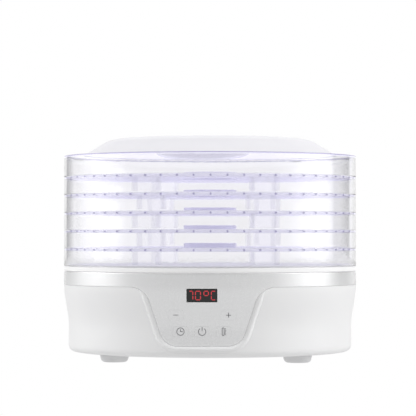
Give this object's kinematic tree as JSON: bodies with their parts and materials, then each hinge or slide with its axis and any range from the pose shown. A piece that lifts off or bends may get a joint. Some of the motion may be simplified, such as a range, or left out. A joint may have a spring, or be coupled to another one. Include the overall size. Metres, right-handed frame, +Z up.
{
  "type": "food dehydrator",
  "caption": "Round countertop food dehydrator: white fan-heater base with a silver front control apron, stacked clear ventilated trays and a frosted domed lid.",
  "frame": {"origin": "on the floor under the centre of the round body", "axes": "+Z up, front with the control apron towards -Y, +X to the right seen from the front"},
  "size_m": [0.32, 0.32, 0.2415],
  "materials": {
    "white_plastic": "satin moulded plastic, cool white",
    "silver_plastic": "silver-grey painted plastic, satin",
    "clear_plastic": "clear moulded plastic with a faint violet tint",
    "frosted_plastic": "frosted moulded plastic with a faint violet tint",
    "dark_window": "dark tinted window with lit red digits",
    "black_plastic": "black moulded plastic",
    "circuit_board": "green circuit board laminate",
    "steel": "plain zinc-plated steel",
    "brass": "plain brass or bronze",
    "mica": "pressed mica sheet",
    "heating_wire": "oxidised resistance wire",
    "red_lead": "red insulation",
    "grey_ribbon": "grey ribbon insulation"
  },
  "bodies": {
    "base": {"base_housing": "white_plastic", "base_bottom": "white_plastic", "top_deck": "white_plastic", "outlet_grille": "white_plastic", "terminal_block": "white_plastic", "foot_front_left": "white_plastic", "foot_front_right": "white_plastic", "foot_rear_left": "white_plastic", "foot_rear_right": "white_plastic", "trim_panel": "silver_plastic", "display_lens": "dark_window", "display_module": "black_plastic", "switch_minus": "black_plastic", "switch_plus": "black_plastic", "switch_timer": "black_plastic", "switch_power": "black_plastic", "switch_temperature": "black_plastic", "cord_gland": "black_plastic", "power_transformer": "black_plastic", "heater_relay": "black_plastic", "temperature_sensor": "black_plastic", "control_board": "circuit_board", "power_board": "circuit_board", "motor_can": "steel", "motor_cap": "steel", "motor_stator": "steel", "motor_bracket": "steel", "bracket_screw_1": "steel", "bracket_screw_2": "steel", "thermal_cutout": "steel", "air_duct": "steel", "foot_screw_front_left": "steel", "foot_screw_front_right": "steel", "foot_screw_rear_left": "steel", "foot_screw_rear_right": "steel", "motor_bush_lower": "brass", "motor_bush_upper": "brass", "mains_fuse": "brass", "heater_frame": "mica", "heater_coil": "heating_wire", "filter_capacitor": "red_lead", "heater_lead": "red_lead", "motor_lead": "red_lead", "panel_ribbon": "grey_ribbon"},
    "fan": {"fan_impeller": "black_plastic", "motor_shaft": "steel", "motor_rotor": "steel"},
    "button_minus": {"button_minus": "silver_plastic"},
    "button_plus": {"button_plus": "silver_plastic"},
    "button_timer": {"button_timer": "silver_plastic"},
    "button_power": {"button_power": "silver_plastic"},
    "button_temperature": {"button_temperature": "silver_plastic"},
    "tray_5": {"tray_5": "clear_plastic"},
    "tray_4": {"tray_4": "clear_plastic"},
    "tray_3": {"tray_3": "clear_plastic"},
    "tray_2": {"tray_2": "clear_plastic"},
    "tray_1": {"tray_1": "clear_plastic"},
    "lid": {"lid_dome": "frosted_plastic", "lid_skirt": "clear_plastic"}
  },
  "joints": [
    {"name": "fan_spin", "type": "hinge", "parent": "base", "child": "fan", "pos_m": [0, 0, 0.05], "axis": [0, 0, 1], "continuous": true},
    {"name": "press_minus", "type": "slide", "parent": "base", "child": "button_minus", "axis": [0, 1, 0], "range_m": [0, 0.0008], "stiffness_N_per_m": 400, "springref_m": -0.002},
    {"name": "press_plus", "type": "slide", "parent": "base", "child": "button_plus", "axis": [0, 1, 0], "range_m": [0, 0.0008], "stiffness_N_per_m": 400, "springref_m": -0.002},
    {"name": "press_timer", "type": "slide", "parent": "base", "child": "button_timer", "axis": [0, 1, 0], "range_m": [0, 0.0008], "stiffness_N_per_m": 400, "springref_m": -0.002},
    {"name": "press_power", "type": "slide", "parent": "base", "child": "button_power", "axis": [0, 1, 0], "range_m": [0, 0.0008], "stiffness_N_per_m": 400, "springref_m": -0.002},
    {"name": "press_temperature", "type": "slide", "parent": "base", "child": "button_temperature", "axis": [0, 1, 0], "range_m": [0, 0.0008], "stiffness_N_per_m": 400, "springref_m": -0.002},
    {"name": "lift_tray_5", "type": "slide", "parent": "base", "child": "tray_5", "axis": [0, 0, 1], "range_m": [0, 0.05]},
    {"name": "lift_tray_4", "type": "slide", "parent": "tray_5", "child": "tray_4", "axis": [0, 0, 1], "range_m": [0, 0.05]},
    {"name": "lift_tray_3", "type": "slide", "parent": "tray_4", "child": "tray_3", "axis": [0, 0, 1], "range_m": [0, 0.05]},
    {"name": "lift_tray_2", "type": "slide", "parent": "tray_3", "child": "tray_2", "axis": [0, 0, 1], "range_m": [0, 0.05]},
    {"name": "lift_tray_1", "type": "slide", "parent": "tray_2", "child": "tray_1", "axis": [0, 0, 1], "range_m": [0, 0.05]},
    {"name": "lift_lid", "type": "slide", "parent": "tray_1", "child": "lid", "axis": [0, 0, 1], "range_m": [0, 0.06]}
  ]
}
